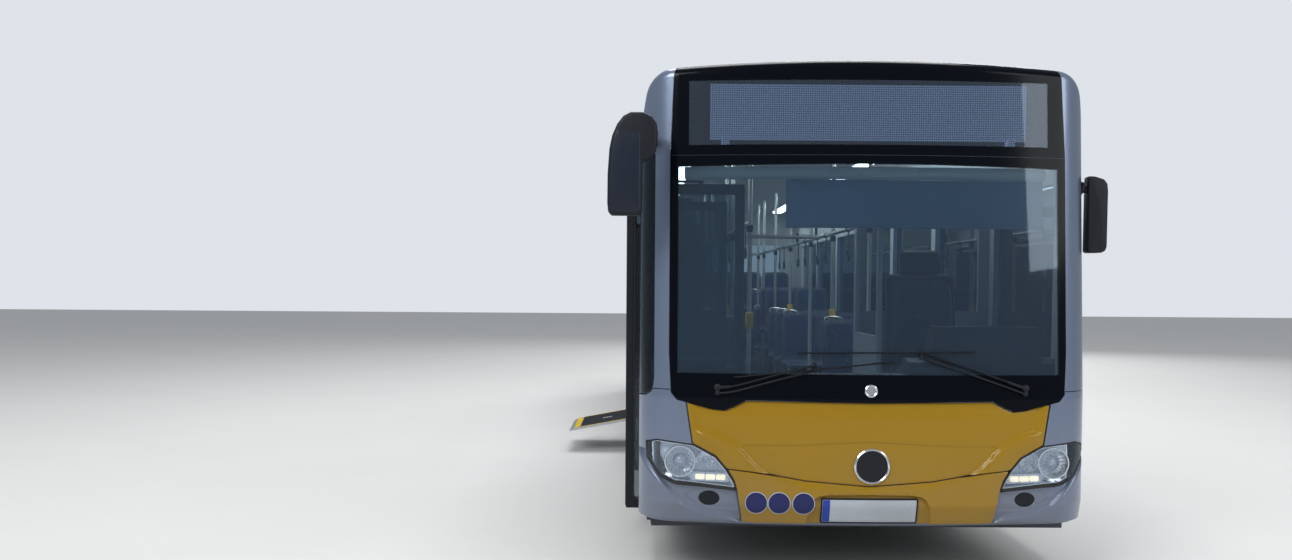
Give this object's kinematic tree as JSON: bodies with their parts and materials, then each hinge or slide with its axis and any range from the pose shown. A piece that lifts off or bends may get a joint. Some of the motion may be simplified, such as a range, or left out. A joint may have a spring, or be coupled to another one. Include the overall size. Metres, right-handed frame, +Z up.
{
  "type": "city bus",
  "caption": "Low-floor city bus with inward-swinging doors, folding ramp, steered front wheels, twin rear wheels and hinged flaps.",
  "frame": {"origin": "on the road under the middle of the front axle, on the centre line", "axes": "+X to the bus's left, +Y towards its rear, +Z up; the front faces -Y"},
  "size_m": [3.4087, 12.23, 3.12],
  "materials": {
    "silver": "metallic silver paint",
    "yellow": "gloss yellow paint",
    "screen_glass": "tinted laminated glass with a black border",
    "mask_glass": "dark tinted glass with a black border",
    "side_glass": "dark tinted glass",
    "lamp_glass": "clear moulded lens",
    "lamp_silver": "metallised reflector",
    "red_lens": "red and amber moulded lenses",
    "black": "black",
    "grey": "grey panels",
    "roof_white": "pale moulded covers",
    "floor": "speckled floor covering",
    "steel": "black underbody paint",
    "iron": "painted castings",
    "tyre": "black rubber",
    "rim": "silver wheel paint",
    "ramp": "black grip surface with bare edges",
    "rail": "satin steel tube",
    "seat_blue": "dark blue moulded shells",
    "seat_cloth": "dark woven cloth"
  },
  "bodies": {
    "coach": {"air_conditioner": "roof_white", "bumper_corners": "silver", "cab_partition": "grey", "dashboard": "black", "display_board": "black", "display_glass": "mask_glass", "driver_seat": "seat_cloth", "engine": "iron", "floor": "floor", "front_axle": "iron", "front_bumper": "yellow", "front_corners": "silver", "front_frame": "silver", "grab_rails": "rail", "headlamp_housings": "lamp_silver", "headlamp_lenses": "lamp_glass", "left_side": "silver", "mirrors": "black", "passenger_seats": "seat_blue", "quarter_glass": "side_glass", "rear_axle": "iron", "rear_wall": "silver", "rear_window": "side_glass", "right_side": "silver", "roof": "silver", "roof_hatches": "roof_white", "side_windows": "side_glass", "steering_wheel": "black", "tail_lamps": "red_lens", "underframe": "steel", "windscreen": "screen_glass", "wipers": "black"},
    "front_flap": {"front_flap": "yellow"},
    "engine_flap": {"engine_flap": "yellow"},
    "ramp": {"ramp": "ramp"},
    "knuckle_left": {"knuckle_left": "iron"},
    "knuckle_right": {"knuckle_right": "iron"},
    "front_wheel_left": {"front_tyre_left": "tyre", "front_rim_left": "rim"},
    "rear_wheels_left": {"rear_tyres_left": "tyre", "rear_rims_left": "rim"},
    "front_wheel_right": {"front_tyre_right": "tyre", "front_rim_right": "rim"},
    "rear_wheels_right": {"rear_tyres_right": "tyre", "rear_rims_right": "rim"},
    "door_arm_1": {"post_1": "black"},
    "leaf_1": {"leaf_1": "black", "leaf_glass_1": "side_glass"},
    "door_arm_2": {"post_2": "black"},
    "leaf_2": {"leaf_2": "black", "leaf_glass_2": "side_glass"},
    "door_arm_3": {"post_3": "black"},
    "leaf_3": {"leaf_3": "black", "leaf_glass_3": "side_glass"},
    "door_arm_4": {"post_4": "black"},
    "leaf_4": {"leaf_4": "black", "leaf_glass_4": "side_glass"}
  },
  "joints": [
    {"name": "steer_left", "type": "hinge", "parent": "coach", "child": "knuckle_left", "pos_m": [0.9055, 0, 0.478], "axis": [0, 0, 1], "range_deg": [-46, 46]},
    {"name": "steer_right", "type": "hinge", "parent": "coach", "child": "knuckle_right", "pos_m": [-0.9055, 0, 0.478], "axis": [0, 0, 1], "range_deg": [-46, 46]},
    {"name": "roll_front_left", "type": "hinge", "parent": "knuckle_left", "child": "front_wheel_left", "pos_m": [1.0505, 0, 0.478], "axis": [1, 0, 0], "continuous": true},
    {"name": "roll_rear_left", "type": "hinge", "parent": "coach", "child": "rear_wheels_left", "pos_m": [0.915, 5.9, 0.478], "axis": [1, 0, 0], "continuous": true},
    {"name": "roll_front_right", "type": "hinge", "parent": "knuckle_right", "child": "front_wheel_right", "pos_m": [-1.0505, 0, 0.478], "axis": [1, 0, 0], "continuous": true},
    {"name": "roll_rear_right", "type": "hinge", "parent": "coach", "child": "rear_wheels_right", "pos_m": [-0.915, 5.9, 0.478], "axis": [1, 0, 0], "continuous": true},
    {"name": "front_door_swing", "type": "hinge", "parent": "coach", "child": "door_arm_1", "pos_m": [-1.201, -2.314, 1.2], "axis": [0, 0, 1], "range_deg": [0, 89.2]},
    {"name": "front_door_leaf_front", "type": "hinge", "parent": "door_arm_1", "child": "leaf_1", "pos_m": [-0.9167, -2.264, 1.2], "axis": [0, 0, 1], "range_deg": [-179.25, 0]},
    {"name": "front_door_swing_rear", "type": "hinge", "parent": "coach", "child": "door_arm_2", "pos_m": [-1.201, -0.866, 1.2], "axis": [0, 0, -1], "range_deg": [0, 89.2]},
    {"name": "front_door_leaf_rear", "type": "hinge", "parent": "door_arm_2", "child": "leaf_2", "pos_m": [-0.9167, -0.916, 1.2], "axis": [0, 0, -1], "range_deg": [-179.25, 0]},
    {"name": "middle_door_swing", "type": "hinge", "parent": "coach", "child": "door_arm_3", "pos_m": [-1.201, 1.906, 1.2], "axis": [0, 0, 1], "range_deg": [0, 89.2]},
    {"name": "middle_door_leaf_front", "type": "hinge", "parent": "door_arm_3", "child": "leaf_3", "pos_m": [-0.9167, 1.956, 1.2], "axis": [0, 0, 1], "range_deg": [-179.25, 0]},
    {"name": "middle_door_swing_rear", "type": "hinge", "parent": "coach", "child": "door_arm_4", "pos_m": [-1.201, 3.354, 1.2], "axis": [0, 0, -1], "range_deg": [0, 89.2]},
    {"name": "middle_door_leaf_rear", "type": "hinge", "parent": "door_arm_4", "child": "leaf_4", "pos_m": [-0.9167, 3.304, 1.2], "axis": [0, 0, -1], "range_deg": [-179.25, 0]},
    {"name": "ramp_fold", "type": "hinge", "parent": "coach", "child": "ramp", "pos_m": [-1.235, 2.63, 0.358], "axis": [0, 1, 0], "range_deg": [0, 190.6]},
    {"name": "front_flap_lift", "type": "hinge", "parent": "coach", "child": "front_flap", "pos_m": [0, -2.797, 1.03], "axis": [-1, 0, 0], "range_deg": [0, 85]},
    {"name": "engine_flap_lift", "type": "hinge", "parent": "coach", "child": "engine_flap", "pos_m": [0, 9.331, 1.48], "axis": [1, 0, 0], "range_deg": [0, 85]}
  ],
  "couplings": [
    {"joint": "steer_right", "follows": "steer_left", "ratio": 1},
    {"joint": "front_door_leaf_front", "follows": "front_door_swing", "ratio": -2.0089},
    {"joint": "front_door_swing_rear", "follows": "front_door_swing", "ratio": 1},
    {"joint": "front_door_leaf_rear", "follows": "front_door_swing", "ratio": -2.0089},
    {"joint": "middle_door_leaf_front", "follows": "middle_door_swing", "ratio": -2.0089},
    {"joint": "middle_door_swing_rear", "follows": "middle_door_swing", "ratio": 1},
    {"joint": "middle_door_leaf_rear", "follows": "middle_door_swing", "ratio": -2.0089}
  ]
}
